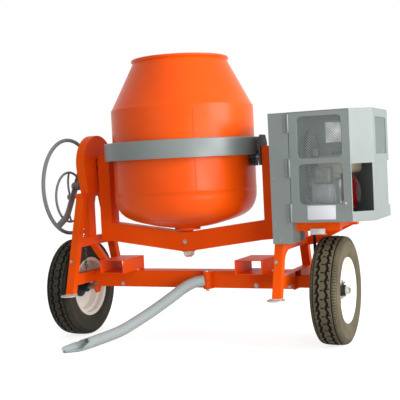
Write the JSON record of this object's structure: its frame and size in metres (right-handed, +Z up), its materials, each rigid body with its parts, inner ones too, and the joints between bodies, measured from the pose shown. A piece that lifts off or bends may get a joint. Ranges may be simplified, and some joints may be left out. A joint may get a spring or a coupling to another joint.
{
  "type": "concrete mixer",
  "caption": "Towable orange tilting-drum concrete mixer with a grey engine cabinet, two tyres, a steel drawbar and a tilt handwheel.",
  "frame": {"origin": "on the ground, straight under the drum's axis, midway between the front and rear feet", "axes": "+X along the axle and the tilt axis towards the engine cabinet, +Y to the rear away from the drawbar, +Z up"},
  "size_m": [1.8997, 0.9919, 1.5653],
  "materials": {
    "orange_paint": "gloss",
    "grey_paint": "satin",
    "light_grey_paint": "satin",
    "cream_paint": "satin",
    "black_paint": "satin",
    "red_paint": "gloss",
    "tyre_rubber": "matte",
    "belt_rubber": "matte",
    "cast_iron": "matte",
    "plated_steel": "satin",
    "cast_aluminium": "matte",
    "tan_plastic": "satin",
    "black_plastic": "satin"
  },
  "bodies": {
    "chassis": {"cross_beam": "orange_paint", "left_stand": "orange_paint", "right_stand": "orange_paint", "left_fork_pocket": "orange_paint", "right_fork_pocket": "orange_paint", "left_axle": "orange_paint", "right_axle": "orange_paint", "left_axle_nut": "plated_steel", "right_axle_nut": "plated_steel", "hitch_pin": "plated_steel", "left_front_foot": "plated_steel", "left_rear_foot": "plated_steel", "right_front_foot": "plated_steel", "right_rear_foot": "plated_steel", "tilt_gear_guard": "orange_paint", "tilt_shaft_bearing": "cast_iron", "handwheel_bearing": "cast_iron", "right_bearing": "cast_iron", "engine_base": "orange_paint", "cabinet_shell": "grey_paint", "column_cover": "grey_paint", "side_vent_mesh": "light_grey_paint", "crankcase": "cast_aluminium", "engine_cylinder": "cast_aluminium", "fan_housing": "red_paint", "recoil_starter": "black_plastic", "fuel_tank": "tan_plastic", "fuel_cap": "black_plastic", "muffler": "cast_iron", "air_cleaner": "black_plastic", "drive_belt": "belt_rubber"},
    "left_wheel": {"left_tyre": "tyre_rubber", "left_rim": "cream_paint", "left_hub": "black_paint"},
    "right_wheel": {"right_tyre": "tyre_rubber", "right_rim": "cream_paint", "right_hub": "black_paint"},
    "drawbar": {"drawbar": "light_grey_paint"},
    "cradle": {"yoke": "orange_paint", "pinion_bearing": "cast_iron", "tilt_gear": "cast_iron", "front_gear_guard": "grey_paint", "rear_gear_guard": "grey_paint"},
    "drum": {"drum_shell": "orange_paint", "drum_shaft": "orange_paint", "drum_nut": "plated_steel", "ring_gear": "cast_iron", "mixing_blade_1": "cast_iron", "mixing_blade_2": "cast_iron"},
    "countershaft": {"countershaft": "plated_steel", "bevel_pinion": "cast_iron", "belt_pulley": "cast_iron"},
    "engine_pulley": {"engine_pulley": "cast_iron"},
    "handwheel": {"tilt_handwheel": "grey_paint", "tilt_pinion": "plated_steel"},
    "lock_wheel": {"lock_handwheel": "grey_paint"},
    "door": {"cabinet_door": "grey_paint", "upper_door_mesh": "grey_paint", "lower_door_mesh": "grey_paint"},
    "starter_grip": {"starter_grip": "black_plastic"}
  },
  "joints": [
    {"name": "left_wheel_spin", "type": "hinge", "parent": "chassis", "child": "left_wheel", "pos_m": [-0.7165, 0, 0.284], "axis": [1, 0, 0], "continuous": true},
    {"name": "right_wheel_spin", "type": "hinge", "parent": "chassis", "child": "right_wheel", "pos_m": [0.8395, 0, 0.284], "axis": [1, 0, 0], "continuous": true},
    {"name": "drawbar_swing", "type": "hinge", "parent": "chassis", "child": "drawbar", "pos_m": [0.14, -0.082, 0.339], "axis": [0, 0, 1], "range_deg": [-10, 125]},
    {"name": "drum_tilt", "type": "hinge", "parent": "chassis", "child": "cradle", "pos_m": [0, 0, 1.006], "axis": [1, 0, 0], "range_deg": [-125, 125]},
    {"name": "drum_spin", "type": "hinge", "parent": "cradle", "child": "drum", "pos_m": [0, 0, 1.006], "axis": [0, 0, 1], "continuous": true},
    {"name": "countershaft_spin", "type": "hinge", "parent": "cradle", "child": "countershaft", "pos_m": [0, 0, 1.006], "axis": [1, 0, 0], "continuous": true},
    {"name": "engine_pulley_spin", "type": "hinge", "parent": "chassis", "child": "engine_pulley", "pos_m": [0.737, -0.045, 0.795], "axis": [1, 0, 0], "continuous": true},
    {"name": "tilt_handwheel_turn", "type": "hinge", "parent": "chassis", "child": "handwheel", "pos_m": [0, 0, 0.88], "axis": [1, 0, 0], "range_deg": [-450, 450]},
    {"name": "lock_wheel_turn", "type": "hinge", "parent": "handwheel", "child": "lock_wheel", "pos_m": [-0.75, -0.02588, 0.81811], "axis": [1, 0, 0], "range_deg": [-180, 180]},
    {"name": "door_hinge", "type": "hinge", "parent": "chassis", "child": "door", "pos_m": [0.70385, -0.2861, 0.934], "axis": [0, 0, -1], "range_deg": [0, 170]},
    {"name": "starter_grip_pull", "type": "slide", "parent": "chassis", "child": "starter_grip", "axis": [0.6205, -0.7842, 0], "range_m": [0, 0.35]}
  ],
  "couplings": [
    {"joint": "countershaft_spin", "follows": "drum_spin", "ratio": -8.8889},
    {"joint": "engine_pulley_spin", "follows": "drum_spin", "ratio": -30.445},
    {"joint": "tilt_handwheel_turn", "follows": "drum_tilt", "ratio": -3.5}
  ]
}
